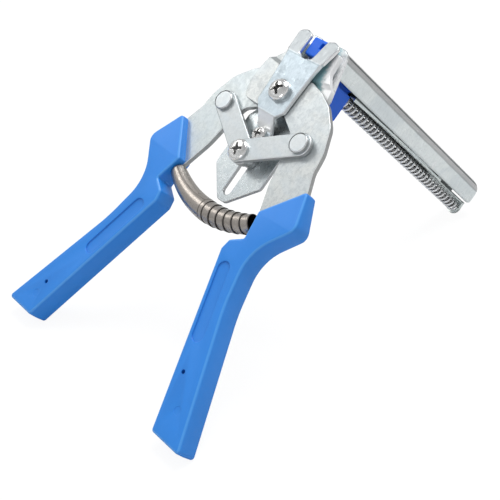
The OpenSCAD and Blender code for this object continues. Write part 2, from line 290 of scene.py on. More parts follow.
def grid_faces(rows: int, cols: int, wrap_rows: bool = False, wrap_cols: bool = True) -> np.ndarray:
    """Quads of a grid whose vertices run row by row.

    Args:
        rows: number of rows.
        cols: vertices in each row.
        wrap_rows: joins the last row to the first.
        wrap_cols: joins the end of each row to its start.

    Returns:
        (K, 4) vertex numbers.
    """
    r = np.arange(rows if wrap_rows else rows - 1)[:, None]
    c = np.arange(cols if wrap_cols else cols - 1)[None, :]
    r2, c2 = (r + 1) % rows, (c + 1) % cols
    quads = [r * cols + c, r * cols + c2, r2 * cols + c2, r2 * cols + c]
    shape = np.broadcast_shapes(r.shape, c.shape)
    return np.stack([np.broadcast_to(q, shape) for q in quads], -1).reshape(-1, 4)


# --------------------------------------------------------------------------- meshes


def link(name: str, data: bpy.types.ID) -> bpy.types.Object:
    """A new object of that data, in the scene and at the origin."""
    obj = bpy.data.objects.new(name, data)
    bpy.context.collection.objects.link(obj)
    return obj


def smoothed(name: str, mesh: bpy.types.Mesh, sharp: float) -> bpy.types.Object:
    """A new object of the mesh, smooth but for edges over the sharp angle, in degrees."""
    mesh.shade_smooth()
    mesh.set_sharp_from_angle(angle=math.radians(sharp))
    return link(name, mesh)


@dataclass
class Shell:
    """Points and faces gathered before they become one mesh.

    Attributes:
        points: the patches' points, in mm of the tool's frame.
        faces: vertex numbers of every face.
        marks: per-point numbers by name, patch by patch.
        count: how many points there are.
    """

    points: List[np.ndarray] = field(default_factory=list)
    faces: List[Tuple[int, ...]] = field(default_factory=list)
    marks: Dict[str, List[np.ndarray]] = field(default_factory=dict)
    count: int = 0

    def add(self, points: np.ndarray, faces: Optional[np.ndarray] = None, **marks: np.ndarray) -> int:
        """Adds a patch.

        Args:
            points: (N, 3) tool points in mm.
            faces: (K, 4) numbers of the patch's own points, or None for a ring of points alone.
            **marks: per-point numbers kept as mesh attributes.

        Returns:
            The number of the patch's first point.
        """
        base = self.count
        self.points.append(np.asarray(points, float))
        if faces is not None:
            self.faces += [tuple(face) for face in (faces + base).tolist()]
        for key in set(marks) | set(self.marks):
            have = self.marks.setdefault(key, [np.zeros(base)] if base else [])
            have.append(np.asarray(marks.get(key, np.zeros(len(points))), float))
        self.count += len(points)
        return base

    def polygon(self, ring: np.ndarray) -> None:
        """Closes a ring of points with one face."""
        self.faces.append(tuple(ring.tolist()))

    def build(self, name: str, sharp: float, weld: float = 1e-7) -> bpy.types.Object:
        """Makes the mesh in the row frame, welds it, turns its faces outwards and shades it smooth.

        Args:
            name: the piece's name.
            sharp: edges over this angle stay hard, in degrees.
            weld: distance under which points become one, in metres.

        Returns:
            The new object at the origin.
        """
        mesh = bpy.data.meshes.new(name)
        mesh.from_pydata(STANCE.place(np.concatenate(self.points)).tolist(), [], self.faces)
        for key, rows in self.marks.items():
            mesh.attributes.new(key, "FLOAT", "POINT").data.foreach_set("value", np.concatenate(rows))
        bm = bmesh.new()
        bm.from_mesh(mesh)
        bmesh.ops.remove_doubles(bm, verts=bm.verts, dist=weld)
        bmesh.ops.recalc_face_normals(bm, faces=bm.faces)
        bm.to_mesh(mesh)
        bm.free()
        return smoothed(name, mesh, sharp)


# --------------------------------------------------------------------------- shader graphs

Value = Union[float, int, "Wire"]
MIX_SHARE, MIX_A, MIX_B, MIX_COLOUR = 0, 6, 7, 2
ATTRIBUTE_NUMBER = 2


def operator(kind: str, swapped: bool = False) -> Callable[["Wire", Value], "Wire"]:
    """A method of Wire that adds one Math node.

    Args:
        kind: the node's operation.
        swapped: puts the wire second, as a reflected operator does.

    Returns:
        The method.
    """

    def method(self: "Wire", other: Value) -> "Wire":
        """That operation on the wire and the other value."""
        first, second = (other, self) if swapped else (self, other)
        return self.graph.node("ShaderNodeMath", {"operation": kind}, {0: first, 1: second})

    return method


class Wire:
    """A shader output that can be used in Python sums; each operator adds its Math node."""

    __add__, __radd__ = operator("ADD"), operator("ADD", True)
    __sub__, __rsub__ = operator("SUBTRACT"), operator("SUBTRACT", True)
    __mul__, __rmul__ = operator("MULTIPLY"), operator("MULTIPLY", True)
    most = operator("MAXIMUM")

    def __init__(self, graph: "Graph", socket: Optional[bpy.types.NodeSocket]) -> None:
        """Args:
            graph: the graph that owns the socket.
            socket: the wrapped output, or None after a tree's last node.
        """
        self.graph = graph
        self.socket = socket

    def __abs__(self) -> "Wire":
        """The distance from zero."""
        return self.graph.node("ShaderNodeMath", {"operation": "ABSOLUTE"}, {0: self})

    def step(self, low: float, high: float) -> "Wire":
        """0 below low, 1 above high and a smooth rise between; low may be the larger."""
        span = {"Value": self, "From Min": low, "From Max": high}
        return self.graph.node("ShaderNodeMapRange", {"interpolation_type": "SMOOTHSTEP"}, span)


class Graph:
    """The node tree of a material or a world, with short ways to the nodes that these finishes use."""

    def __init__(self, owner: Union[bpy.types.Material, bpy.types.World]) -> None:
        """Args:
            owner: what the tree belongs to; its nodes are cleared.
        """
        self.owner = owner
        owner.use_nodes = True
        self.tree = owner.node_tree
        self.tree.nodes.clear()
        self._tool: Optional[Wire] = None

    @classmethod
    def material(cls, name: str) -> "Graph":
        """The empty tree of a new material."""
        return cls(bpy.data.materials.new(name))

    def _feed(self, socket: bpy.types.NodeSocket, value: object) -> None:
        """Links a wire to the socket, or sets the socket's number, colour or vector."""
        if isinstance(value, Wire):
            self.tree.links.new(value.socket, socket)
        elif isinstance(value, tuple) and socket.type == "RGBA":
            socket.default_value = (*value, 1.0)
        else:
            socket.default_value = value

    def node(
        self,
        kind: str,
        settings: Optional[Dict[str, object]] = None,
        sockets: Optional[Dict[Union[int, str], object]] = None,
        output: Union[int, str] = 0,
    ) -> Wire:
        """Adds a node.

        Args:
            kind: the node type.
            settings: attributes that are set first; "stops" is a list of a ramp's (place, colour).
            sockets: numbers, colours or wires by socket name or place.
            output: which output is wrapped.

        Returns:
            The node's output as a wire.
        """
        made = self.tree.nodes.new(kind)
        for key, value in (settings or {}).items():
            if key == "stops":
                ramp = made.color_ramp.elements
                while len(ramp) < len(value):
                    ramp.new(0.5)
                for stop, (place, colour) in zip(ramp, value):
                    stop.position, stop.color = place, (*colour, 1.0)
            else:
                setattr(made, key, value)
        for key, value in (sockets or {}).items():
            self._feed(made.inputs[key], value)
        return Wire(self, made.outputs[output] if len(made.outputs) else None)

    def principled(self, **sockets: object) -> Wire:
        """A Principled surface with those sockets; an underscore stands for a space."""
        named = {key.replace("_", " "): value for key, value in sockets.items()}
        return self.node("ShaderNodeBsdfPrincipled", {}, named)

    def close(self, shader: Wire) -> Union[bpy.types.Material, bpy.types.World]:
        """Feeds the shader to the tree's output node and gives back the owner."""
        kind = "World" if isinstance(self.owner, bpy.types.World) else "Material"
        self.node("ShaderNodeOutput" + kind, {}, {"Surface": shader})
        return self.owner

    def vector(self, operation: str, a: Wire, b: Triple, output: Union[int, str] = 0) -> Wire:
        """One Vector Math node on a and b."""
        return self.node("ShaderNodeVectorMath", {"operation": operation}, {0: a, 1: b}, output)

    def tool(self) -> Wire:
        """Object coordinates turned back to the tool's own x, y and n, in metres."""
        if self._tool is None:
            place = self.node("ShaderNodeTexCoord", output="Object")
            lifted = self.vector("SUBTRACT", place, (0.0, STANCE.shift * MM, STANCE.drop * MM))
            turn = (-math.radians(STANCE.lean), 0.0, 0.0)
            self._tool = self.node("ShaderNodeMapping", {}, {"Vector": lifted, "Rotation": turn})
        return self._tool

    def axes(self) -> Tuple[Wire, ...]:
        """The tool's x, y and n as three values in mm."""
        place = self.vector("MULTIPLY", self.tool(), (1 / MM, 1 / MM, 1 / MM))
        split = self.node("ShaderNodeSeparateXYZ", {}, {0: place})
        return tuple(Wire(self, output) for output in split.socket.node.outputs)

    def toward(self, direction: Triple) -> Wire:
        """How far a face looks along a direction of the tool's frame, -1 to 1."""
        normal = self.node("ShaderNodeTexCoord", output="Normal")
        return self.vector("DOT_PRODUCT", normal, tuple(STANCE.turn(direction)), "Value")

    def facing(self) -> Wire:
        """How squarely a face looks along the tool's n, 0 to 1."""
        return abs(self.toward((0.0, 0.0, 1.0)))

    def noise(self, size: Triple, detail: float = 2.0, roughness: float = 0.5, warp: float = 0.0) -> Wire:
        """Noise whose features measure about size along x, y and n.

        Args:
            size: feature length along each tool axis, in mm.
            detail: octaves.
            roughness: how much the finer octaves count.
            warp: distortion.

        Returns:
            The noise, about 0.3 to 0.7.
        """
        place = self.vector("MULTIPLY", self.tool(), tuple(1 / MM / s for s in size))
        pattern = {"Scale": 1.0, "Detail": detail, "Roughness": roughness, "Distortion": warp}
        return self.node("ShaderNodeTexNoise", {}, {"Vector": place, **pattern})

    def mix(self, share: Value, a: object, b: object) -> Wire:
        """Colour a turned to colour b by share."""
        sockets = {MIX_SHARE: share, MIX_A: a, MIX_B: b}
        return self.node("ShaderNodeMix", {"data_type": "RGBA"}, sockets, MIX_COLOUR)

    def bump(self, height: Wire, distance: float) -> Wire:
        """A Bump node for the height, whose distance is in mm."""
        return self.node("ShaderNodeBump", {}, {"Distance": distance * MM, "Height": height})

    def attribute(self, name: str) -> Wire:
        """The piece's own number of that name."""
        return self.node("ShaderNodeAttribute", {"attribute_name": name}, {}, ATTRIBUTE_NUMBER)


def scaled(colour: Colour, share: float) -> Colour:
    """The colour times the share, no brighter than white."""
    return tuple(min(1.0, c * share) for c in colour)


class Grain(Enum):
    """Feature lengths along x, y and n of the drawn lines of a metal, in mm."""

    ALONG_X = (14.0, 0.22, 14.0)
    ALONG_Y = (0.22, 14.0, 14.0)
    ALONG_N = (0.25, 0.25, 26.0)
    CROSS = (2.2, 0.16, 0.16)


@dataclass(frozen=True)
class PlatedSteel:
    """Zinc plated sheet: a pale mottled skin over drawn lines, with fine scratches.

    Attributes:
        name: material name.
        light: colour of the clean skin.
        dark: colour of the mottling.
        grain: direction of the drawn lines.
        metallic: how much of the skin is metal.
        rough: mean roughness.
        mottle: size of the mottling, in mm.
        strength: how strongly the mottling shows, 0 to 1.
        relief: height of the drawn lines, in mm.
        stain: colour of the wide soft clouds.
        stain_share: how strongly the clouds show.
        side: colour of the cut edges.
        side_share: how strongly that colour shows.
        rim_share: how strongly the painted shade and painted highlight on the rounding next to a cut edge show.
        across: direction in the sheet's plane that divides rims in painted shade from rims in painted highlight.
    """

    name: str
    light: Colour
    dark: Colour
    grain: Grain = Grain.ALONG_Y
    metallic: float = 0.9
    rough: float = 0.36
    mottle: float = 2.2
    strength: float = 0.6
    relief: float = 0.010
    stain: Colour = (0.52, 0.60, 0.66)
    stain_share: float = 0.25
    side: Colour = (0.34, 0.32, 0.31)
    side_share: float = 0.55
    rim_share: float = 0.75
    across: Triple = (0.94, -0.34, 0.0)

    def shade(self, graph: Graph, colour: Wire) -> Wire:
        """Cut edges take the side colour; the rounding next to them gets painted shade at the left and a painted
        highlight at the right.

        Args:
            graph: the material's graph.
            colour: the colour so far.

        Returns:
            The colour with its cut edges.
        """
        facing = graph.facing()
        across = graph.toward(self.across)
        rim = facing.step(0.985, 0.90) * facing.step(0.30, 0.50) * self.rim_share
        # Painted shade on rims that face left and a painted highlight on rims that face right, as the light falls.
        colour = graph.mix(rim * across.step(0.05, -0.25), colour, (0.05, 0.055, 0.06))
        colour = graph.mix(rim * across.step(0.05, 0.25), colour, (1.0, 1.0, 1.0))
        flank = (1 - facing).step(0.50, 0.75)
        return graph.mix(flank * self.side_share, colour, self.side)

    def skin(self, graph: Graph) -> Value:
        """How much of the skin is metal; the graph serves finishes that vary it."""
        return self.metallic

    def build(self) -> bpy.types.Material:
        """The finished material."""
        g = Graph.material(self.name)
        lines = g.noise(self.grain.value, 3.0, 0.6)
        cloud = g.noise((self.mottle * 7, self.mottle * 6, self.mottle * 7), 2.0, 0.5, 0.6)
        blot = g.noise((self.mottle, self.mottle * 1.3, self.mottle), 4.0, 0.62, 0.9)
        speck = g.noise((0.35, 0.35, 0.35), 2.0, 0.6)
        scratch = g.noise((0.12, 9.0, 4.0), 1.0, 0.4, 0.25).step(0.69, 0.74)
        mottle = (blot.step(0.40, 0.64) * 0.65 + speck.step(0.38, 0.66) * 0.35) * self.strength
        colour = g.mix(mottle, self.light, self.dark)
        colour = g.mix(cloud.step(0.42, 0.66) * self.stain_share, colour, self.stain)
        colour = g.mix(lines.step(0.50, 0.72) * 0.22, colour, scaled(self.light, 1.25))
        colour = g.mix(scratch * 0.35, self.shade(g, colour), scaled(self.light, 1.35))
        height = lines * 0.7 + speck * 0.25 + blot * 0.9 - scratch * 0.6
        return g.close(g.principled(
            Base_Color=colour,
            Metallic=self.skin(g),
            Roughness=(lines - 0.5) * 0.30 + (blot - 0.5) * 0.30 + self.rough,
            Normal=g.bump(height, self.relief),
        ))


@dataclass(frozen=True)
class JawPlateSteel(PlatedSteel):
    """The front plate: bluish below its fold, painted shade greying the prongs, a painted highlight on its joggled
    slope.

    Attributes:
        fold: y of the fold below the prongs, in mm.
        prong: colour of the painted shade on the prongs, which catch more top light.
        slope: colour of the painted highlight on the joggle.
        crease: colours of the painted shade line and the painted highlight line at the fold.
    """

    fold: float = 19.0
    prong: Colour = (0.42, 0.44, 0.45)
    slope: Colour = (0.96, 0.99, 1.0)
    crease: Tuple[Colour, Colour] = ((0.22, 0.26, 0.28), (0.90, 0.92, 0.92))
    # Painted highlight: the cut edges are painted near white, as if brightly lit.
    side: Colour = (0.98, 0.98, 0.97)
    side_share: float = 1.0

    def shade(self, graph: Graph, colour: Wire) -> Wire:
        """Painted shade on the prongs, a painted highlight on the joggle, painted shade and highlight lines at the
        fold, then the cut edges.
        """
        _, y, _ = graph.axes()
        up = y - self.fold
        # Painted shade: the prongs are painted greyer, as they catch more top light.
        colour = graph.mix(up.step(-0.2, 0.5) * 0.85, colour, self.prong)
        # Painted highlight on the joggled slope, where the bend catches the light.
        joggle = y.step(-10.8, -12.6) * y.step(-19.5, -18.0)
        colour = graph.mix(joggle * 0.9, colour, self.slope)
        # A thin painted shade line and a thin painted highlight line at the fold.
        colour = graph.mix(abs(up + 0.35).step(0.45, 0.1) * 0.45, colour, self.crease[0])
        colour = graph.mix(abs(up - 0.25).step(0.4, 0.1) * 0.15, colour, self.crease[1])
        return super().shade(graph, colour)


@dataclass(frozen=True)
class ShoulderSteel(PlatedSteel):
    """Rear plate and rear lever: painted teal shadow beside the front plate, painted white highlight at the shoulder.

    The shoulder's line passes through one point, square to its normal; the distance from it, roughened by
    noise, divides the two tones.

    Attributes:
        teal: colour of the painted shadow.
        white: colour of the painted highlight on the shoulder.
        oxide: how much of the shoulder's skin is metal, lowered so that its painted highlight reads as flat white.
        shoulder: a point of the shoulder's line, in mm.
        normal: the direction across that line.
    """

    teal: Colour = (0.20, 0.42, 0.46)
    white: Colour = (0.92, 0.92, 0.92)
    # Metallic share on the shoulder, lowered so that the painted white highlight there reads as flat white.
    oxide: float = 0.25
    shoulder: Point2 = (14.1, 31.3)
    normal: Point2 = (0.958, 0.287)

    def zone(self, graph: Graph) -> Wire:
        """1 on the right side's shoulder and 0 elsewhere."""
        x, y, _ = graph.axes()
        return y.step(4.0, 11.0) * x.step(6.0, 9.0)

    def skin(self, graph: Graph) -> Wire:
        """Less metal at the shoulder, so that its painted white highlight reads as flat white; metal elsewhere."""
        return self.metallic - self.zone(graph) * (self.metallic - self.oxide)

    def shade(self, graph: Graph, colour: Wire) -> Wire:
        """The cut edges, then the painted teal shadow and the painted white highlight, on the right side only."""
        x, y, _ = graph.axes()
        rough = (graph.noise((1.1, 1.6, 1.1), 3.0, 0.6) - 0.5) * 4.5
        off = (x - self.shoulder[0]) * self.normal[0] + (y - self.shoulder[1]) * self.normal[1] + rough
        here = self.zone(graph)
        # Painted teal shadow beside the front plate.
        colour = graph.mix(off.step(-3.6, -6.0) * here * 0.92, super().shade(graph, colour), self.teal)
        # Painted white highlight on the shoulder.
        shoulder_highlight = off.step(-4.4, -2.2) * here * y.step(30.5, 28.5)
        return graph.mix(shoulder_highlight, colour, self.white)


@dataclass(frozen=True)
class ChannelSteel(PlatedSteel):
    """The folded channel: painted taupe shade on its round top and a shade line at the bend, pale flanks, painted shade
    inside.

    Attributes:
        bend: y of the bend line, in mm.
        top: colour of the painted taupe shade on the round top.
        line: colour of the painted shade line at the bend.
        streaks: colour of the streaks across the channel.
        foot: colour of the flanks' lower edge.
        lining: colour of the painted shade inside the channel.
    """

    bend: float = 29.4
    top: Colour = (0.46, 0.43, 0.43)
    line: Colour = (0.20, 0.20, 0.20)
    streaks: Colour = (0.50, 0.53, 0.54)
    foot: Colour = (0.42, 0.45, 0.45)
    lining: Colour = (0.035, 0.045, 0.045)

    def shade(self, graph: Graph, colour: Wire) -> Wire:
        """Bands along the channel by height, streaks across it, and painted shade inside."""
        x, y, _ = graph.axes()
        wave = (graph.noise((8.0, 8.0, 18.0)) - 0.5) * 1.2
        high = y - self.bend + wave
        streak = graph.noise((6.0, 3.0, 0.45), 3.0, 0.6).step(0.46, 0.66)
        colour = graph.mix(streak * 0.22, colour, self.streaks)
        # Painted shade: the round top is painted darker taupe where it would catch the top light.
        colour = graph.mix(high.step(-0.4, 0.9) * 0.70, colour, self.top)
        # A painted shade line along the bend.
        colour = graph.mix(abs(high).step(0.8, 0.1) * 0.50, colour, self.line)
        colour = graph.mix(y.step(22.2, 21.2) * 0.45, colour, self.foot)
        # Painted shade inside the channel.
        inside = abs(x).step(7.4, 7.1) * y.step(32.7, 32.4)
        return graph.mix(inside * 0.92, colour, self.lining)


@dataclass(frozen=True)
class RailSteel(PlatedSteel):
    """The liner: painted shadow in the slit under the channel's edge, closing towards the tail, and a pale lip.

    Attributes:
        slit: colour of the painted shadow in the slit and of the painted shade inside the liner.
        level: y of the slit's lower edge where its rise begins, in mm.
        start: n where the rise begins.
        rise: how much the slit's edge climbs per mm towards the tail.
    """

    slit: Colour = (0.05, 0.065, 0.065)
    level: float = 20.15
    start: float = -30.0
    rise: float = 0.012

    def shade(self, graph: Graph, colour: Wire) -> Wire:
        """Paints shadow over everything above a level that rises towards the tail, and shade inside the liner."""
        x, y, n = graph.axes()
        above = y - self.level + (n - self.start) * self.rise
        # Painted shadow under the channel's edge, and painted shade inside the liner.
        slit = above.step(-0.15, 0.15) * n.step(-96.0, -85.0)
        inside = abs(x).step(6.4, 6.0) * y.step(20.0, 20.6)
        return graph.mix(slit.most(inside) * 0.9, colour, self.slit)


@dataclass(frozen=True)
class BrightNickel:
    """Nickel plated screws and nuts: near mirror with a slight orange peel and painted shade in the low spots.

    Attributes:
        name: material name.
        light: colour of the clean plating.
        dark: colour of its fine mottling.
        dirt: colour of the painted shade in the recesses.
        rough: mean roughness.
        relief: height of the orange peel, in mm.
    """

    name: str = "bright_nickel"
    light: Colour = (0.95, 0.94, 0.92)
    dark: Colour = (0.30, 0.30, 0.31)
    dirt: Colour = (0.04, 0.04, 0.045)
    rough: float = 0.14
    relief: float = 0.075

    def build(self) -> bpy.types.Material:
        """The finished material."""
        g = Graph.material(self.name)
        peel = g.noise((0.8, 0.8, 0.8))
        fine = g.noise((0.25, 0.25, 0.25))
        # The low mark is the depth in the cross recess; it is painted as shade there.
        low = g.attribute("low")
        colour = g.mix(fine.step(0.50, 0.66) * 0.45, self.light, self.dark)
        return g.close(g.principled(
            Base_Color=g.mix(low * 0.85, colour, self.dirt),
            Metallic=1.0,
            Roughness=(fine - 0.5) * 0.2 + low * 0.3 + self.rough,
            Normal=g.bump(peel * 0.8 + fine * 0.3, self.relief),
        ))


@dataclass(frozen=True)
class MouldedPlastic:
    """Moulded plastic: fine spark-eroded texture, slightly paler where hands and edges rub it.

    Attributes:
        name: material name.
        body: the colour.
        worn: the colour of rubbed edges.
        deep: colour of the painted shade in recesses and in the hole.
        rough: mean roughness.
        relief: height of the texture, in mm.
    """

    name: str
    body: Colour
    worn: Colour
    deep: Colour
    rough: float = 0.42
    relief: float = 0.03

    def build(self) -> bpy.types.Material:
        """The finished material."""
        g = Graph.material(self.name)
        cloud = g.noise((18.0, 26.0, 18.0), 3.0, 0.55)
        fine = g.noise((0.22, 0.22, 0.22), 2.0, 0.6)
        scuff = g.noise((0.25, 5.0, 2.0), 2.0, 0.5, 0.4).step(0.64, 0.74)
        edge = g.attribute("edge")
        colour = g.mix(cloud.step(0.35, 0.65) * 0.30, self.body, scaled(self.body, 0.86))
        colour = g.mix(edge * 0.55 + scuff * 0.10, colour, self.worn)
        return g.close(g.principled(
            # Painted shade where the mesh is marked low: recess walls, recess floors and the hole.
            Base_Color=g.mix(g.attribute("low") * 0.45, colour, self.deep),
            Metallic=0.0,
            Roughness=(fine - 0.5) * 0.25 + (cloud - 0.5) * 0.12 - edge * 0.06 + self.rough,
            Normal=g.bump(fine * 0.6 + cloud * 0.8, self.relief),
        ))


@dataclass(frozen=True)
class SpringSteel:
    """Spring wire or band: painted shade on the wire's inner side and inside the band, dark joint lines at its
    overlaps, polished crests.

    Attributes:
        name: material name.
        crest: colour of the polished outside.
        trough: colour of the darker streaks; scaled to 0.12 it is the colour of the painted shade.
        rough: mean roughness.
        metallic: how much of the skin is metal.
        relief: height of the streaks, in mm.
    """

    name: str
    crest: Colour
    trough: Colour
    rough: float = 0.3
    metallic: float = 0.95
    relief: float = 0.02

    def build(self) -> bpy.types.Material:
        """The finished material."""
        g = Graph.material(self.name)
        streak = g.noise((0.5, 0.5, 0.5), 3.0, 0.6)
        cloud = g.noise((4.0, 4.0, 4.0))
        low = g.attribute("low")
        colour = g.mix(streak.step(0.42, 0.66) * 0.45, self.crest, self.trough)
        return g.close(g.principled(
            # Painted shade, and the band's dark joint lines, where the mesh is marked low.
            Base_Color=g.mix(low, colour, scaled(self.trough, 0.12)),
            Metallic=self.metallic,
            Roughness=(streak - 0.5) * 0.3 + (cloud - 0.5) * 0.2 + low * 0.3 + self.rough,
            Normal=g.bump(streak, self.relief),
        ))


class Finish(Enum):
    """The finishes of the tool's parts."""

    PLATE = JawPlateSteel("zinc_front_plate", (0.46, 0.52, 0.56), (0.30, 0.36, 0.40), mottle=1.6)
    REAR = ShoulderSteel("zinc_rear_plate", (0.64, 0.68, 0.69), (0.46, 0.52, 0.54), rough=0.30, mottle=2.4,
                         strength=0.45)
    CHANNEL = ChannelSteel("zinc_channel", (0.92, 0.96, 0.95), (0.72, 0.77, 0.77), Grain.CROSS, rough=0.34,
                           mottle=3.0, strength=0.30, metallic=0.8)
    RAIL = RailSteel("zinc_rail", (0.82, 0.87, 0.85), (0.62, 0.68, 0.67), Grain.ALONG_N, rough=0.34,
                     mottle=2.0, strength=0.3, metallic=0.8)
    LEFT_LEVER = ShoulderSteel("left_lever_skin", (0.64, 0.68, 0.68), (0.44, 0.49, 0.50), rough=0.40,
                               mottle=1.8)
    RIGHT_LEVER = PlatedSteel("right_lever_skin", (0.66, 0.68, 0.67), (0.44, 0.47, 0.48), rough=0.42,
                              mottle=1.8, strength=0.7)
    LINK = PlatedSteel("link_skin", (0.62, 0.65, 0.66), (0.46, 0.50, 0.51), Grain.ALONG_X, rough=0.44,
                       mottle=1.4, strength=0.4)
    RIVET = PlatedSteel("rivet_skin", (0.60, 0.63, 0.64), (0.44, 0.48, 0.49), Grain.ALONG_X, mottle=1.0,
                        strength=0.35)
    TURNED = PlatedSteel("turned_steel", (0.52, 0.53, 0.53), (0.34, 0.35, 0.36), Grain.ALONG_N, rough=0.30,
                         mottle=0.8, strength=0.5)
    NICKEL = BrightNickel()
    COIL = SpringSteel("coil_wire", (0.96, 0.96, 0.96), (0.60, 0.60, 0.61), 0.24, 0.6)
    BAND = SpringSteel("spring_band", (0.46, 0.42, 0.38), (0.24, 0.21, 0.19), 0.32)
    GRIP = MouldedPlastic("grip_plastic", (0.022, 0.245, 0.78), (0.12, 0.42, 0.90), (0.008, 0.09, 0.42))
    PUSHER = MouldedPlastic("pusher_plastic", (0.005, 0.130, 0.76), (0.02, 0.20, 0.86), (0.004, 0.02, 0.20),
                            0.46)


Materials = Dict[Finish, bpy.types.Material]


# --------------------------------------------------------------------------- sub-assemblies


def dress(
    obj: bpy.types.Object, material: bpy.types.Material, body: Optional[str], slot: str
) -> bpy.types.Object:
    """Gives a piece its finish, its body and its record slot, and logs it.

    Args:
        obj: the piece.
        material: its finish.
        body: the body it rides on, or None where it bends or already rides.
        slot: the record's material slot.

    Returns:
        The piece.
    """
    obj.data.materials.clear()
    obj.data.materials.append(material)
    if body:
        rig.ride(obj, body)
    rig.slot(obj, slot)
    LOG.info("%s: %d faces", obj.name, len(obj.data.polygons))
    return obj


@dataclass
class PanScrew:
    """A pan head screw with a cross recess.

    Attributes:
        name: piece name.
        node: the CAD node it replaces.
        body: the body it rides on.
        centre: x and y, in mm.
        seat: n of the head's underside, in mm.
        head_r: head radius.
        head_h: head height.
        shank_r: shank radius.
        tip: n of the far end.
        twist: angle of the cross, in degrees.
        skirt: height of the head's straight side, as a share of the head's.
        crown: power that rounds the head's top.
        depth: depth of the cross, as a share of the head's height.
        chamfer: bevel of the shank's far end.
        around: points in each ring.
    """

    name: str
    node: str
    body: str
    centre: Point2
    seat: float
    head_r: float
    head_h: float
    shank_r: float
    tip: float
    twist: float
    skirt: float = 0.30
    crown: float = 2.6
    depth: float = 0.62
    chamfer: float = 0.4
    around: int = 120

    @staticmethod
    def arm(s: np.ndarray, t: np.ndarray) -> np.ndarray:
        """Depth share of one arm of the cross, along s with t across it, in shares of the head's radius."""
        wide = 0.135 - 0.05 * np.abs(s)
        across = np.clip((wide - np.abs(t)) / 0.05 + 0.5, 0, 1)
        along = np.clip((0.60 - np.abs(s)) / 0.16, 0, 1)
        return across * across * (3 - 2 * across) * np.sqrt(along)

    def cross(self, x: np.ndarray, y: np.ndarray) -> np.ndarray:
        """Depth share of the cross at points of the head: the deeper of its two arms and its round middle."""
        c, s = math.cos(math.radians(self.twist)), math.sin(math.radians(self.twist))
        u, v = (x * c + y * s) / self.head_r, (y * c - x * s) / self.head_r
        middle = np.clip((0.27 - np.hypot(u, v)) / 0.08, 0, 1)
        return np.maximum(np.maximum(self.arm(u, v), self.arm(v, u)), middle)

    def surface(self) -> Shell:
        """Head, underside and shank as one surface of revolution.

        The head's height over radius r is h * (k + (1 - k) * sqrt(1 - (r / R)^p)) with skirt k and
        crown p, less the depth of the cross, which narrows as it sinks.
        """
        phi = np.linspace(0, 2 * np.pi, self.around, endpoint=False)
        share = np.concatenate([np.linspace(0.0, 0.62, 34), np.linspace(0.64, 1.0, 16)[:-1], [0.992, 1.0]])
        r = share * self.head_r
        r[0] = ON_AXIS
        dome = np.sqrt(np.clip(1 - (r / self.head_r) ** self.crown, 0, 1))
        z = self.head_h * (self.skirt + (1 - self.skirt) * dome)
        rr, pp = np.meshgrid(r, phi, indexing="ij")
        sink = self.cross(rr * np.cos(pp), rr * np.sin(pp))
        zz = z[:, None] - sink * self.head_h * self.depth
        end = self.tip - self.seat
        tail_r, tail_z = np.array([
            (self.head_r * 0.995, self.head_h * 0.10), (self.head_r * 0.97, 0.0), (self.shank_r, 0.0),
            (self.shank_r, end + self.chamfer), (self.shank_r - self.chamfer, end), (ON_AXIS, end),
        ]).T
        rows_r = np.concatenate([rr, np.repeat(tail_r[:, None], self.around, 1)])
        rows_z = np.concatenate([zz, np.repeat(tail_z[:, None], self.around, 1)])
        low = np.concatenate([sink, np.zeros((len(tail_r), self.around))])
        x, y = self.centre[0] + rows_r * np.cos(phi), self.centre[1] + rows_r * np.sin(phi)
        shell = Shell()
        points = np.stack([x, y, self.seat + rows_z], -1).reshape(-1, 3)
        # The cross's depth is marked low, for painted shade in the recess.
        shell.add(points, grid_faces(len(rows_r), self.around), low=low.reshape(-1) ** 1.5)
        return shell

    def build(self, materials: Materials) -> bpy.types.Object:
        """Makes, dresses and rides the screw."""
        obj = self.surface().build(self.name, 50.0, 4e-7)
        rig.replaces(obj, self.node)
        return dress(obj, materials[Finish.NICKEL], self.body, "nickel")


